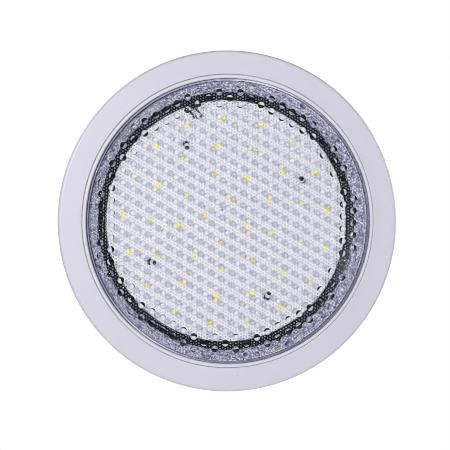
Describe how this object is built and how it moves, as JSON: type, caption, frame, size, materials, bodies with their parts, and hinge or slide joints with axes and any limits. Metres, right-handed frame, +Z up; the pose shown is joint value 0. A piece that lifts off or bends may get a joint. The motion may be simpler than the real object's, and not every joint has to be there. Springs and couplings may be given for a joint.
{
  "type": "underwater pool light",
  "caption": "Round wall-mounted pool light with a flat white face ring, embossed clear lens over a white LED board, bayonet wall bracket and rear cable gland.",
  "frame": {"origin": "centre of the bracket's wall screws, on the plane where the bracket meets the wall", "axes": "-Y out of the wall, the way the light shines; +Y into the wall; +Z up; +X to the right of someone facing the light"},
  "size_m": [0.2899, 0.057, 0.29],
  "materials": {
    "bracket_abs": "moulded ABS, satin",
    "housing_abs": "moulded ABS, satin",
    "face_abs": "moulded ABS, satin gloss",
    "ring_abs": "moulded ABS, satin gloss",
    "clear_lens": "clear embossed polycarbonate",
    "silicone": "translucent silicone",
    "stainless": "stainless steel",
    "brass": "machined brass",
    "grey_plastic": "grey moulded plastic",
    "black_rubber": "black rubber, smooth",
    "aluminium": "milled aluminium",
    "solder_mask": "white solder mask",
    "led_body": "white moulded LED body",
    "phosphor": "yellow phosphor gel",
    "dark_screw": "blackened steel",
    "solder": "solder",
    "black_lead": "black insulation",
    "green_mask": "green solder mask",
    "chip_black": "moulded epoxy",
    "capacitor_sleeve": "shrink sleeve",
    "ferrite": "ferrite",
    "copper_wire": "enamelled copper wire",
    "terminal_green": "green moulded plastic",
    "gland_nylon": "black nylon"
  },
  "bodies": {
    "bracket": {"wall_bracket": "bracket_abs", "bayonet_ring": "bracket_abs", "bayonet_screws": "stainless"},
    "lamp": {"rear_housing": "housing_abs", "seat_flange": "housing_abs", "clamp_ring": "ring_abs", "clamp_screws": "stainless", "threaded_inserts": "brass", "lens": "clear_lens", "lens_gasket": "silicone", "reflector_ring": "grey_plastic", "board_edge_seal": "black_rubber", "heat_sink": "aluminium", "led_board": "solder_mask", "led_packages": "led_body", "led_phosphors": "phosphor", "board_screws": "dark_screw", "solder_joints": "solder", "board_leads": "black_lead", "driver_board": "green_mask", "driver_screws": "stainless", "bridge_rectifier": "chip_black", "filter_capacitors": "capacitor_sleeve", "power_inductor": "ferrite", "inductor_winding": "copper_wire", "driver_chips": "chip_black", "terminal_block": "terminal_green", "terminal_screws": "stainless", "gland_body": "gland_nylon", "gland_oring": "black_rubber", "gland_locknut": "gland_nylon", "gland_seal": "black_rubber"},
    "trim": {"face_ring": "face_abs", "side_skirt": "face_abs", "retaining_screw": "stainless"},
    "slip_ring": {"gland_slip_ring": "stainless"},
    "nut": {"gland_nut": "gland_nylon"}
  },
  "joints": [
    {"name": "lamp_twist", "type": "hinge", "parent": "bracket", "child": "lamp", "pos_m": [0, 0, 0], "axis": [0, -1, 0], "range_deg": [0, 30]},
    {"name": "face_ring_twist", "type": "hinge", "parent": "lamp", "child": "trim", "pos_m": [0, 0, 0], "axis": [0, -1, 0], "range_deg": [0, 17]},
    {"name": "gland_travel", "type": "slide", "parent": "lamp", "child": "slip_ring", "axis": [0, 1, 0], "range_m": [0, 0.0031]},
    {"name": "gland_nut_turn", "type": "hinge", "parent": "slip_ring", "child": "nut", "pos_m": [0, 0, 0], "axis": [0, 1, 0], "range_deg": [0, 720]}
  ],
  "couplings": [
    {"joint": "gland_travel", "follows": "gland_nut_turn", "m_per_rad": 0.00023873}
  ]
}
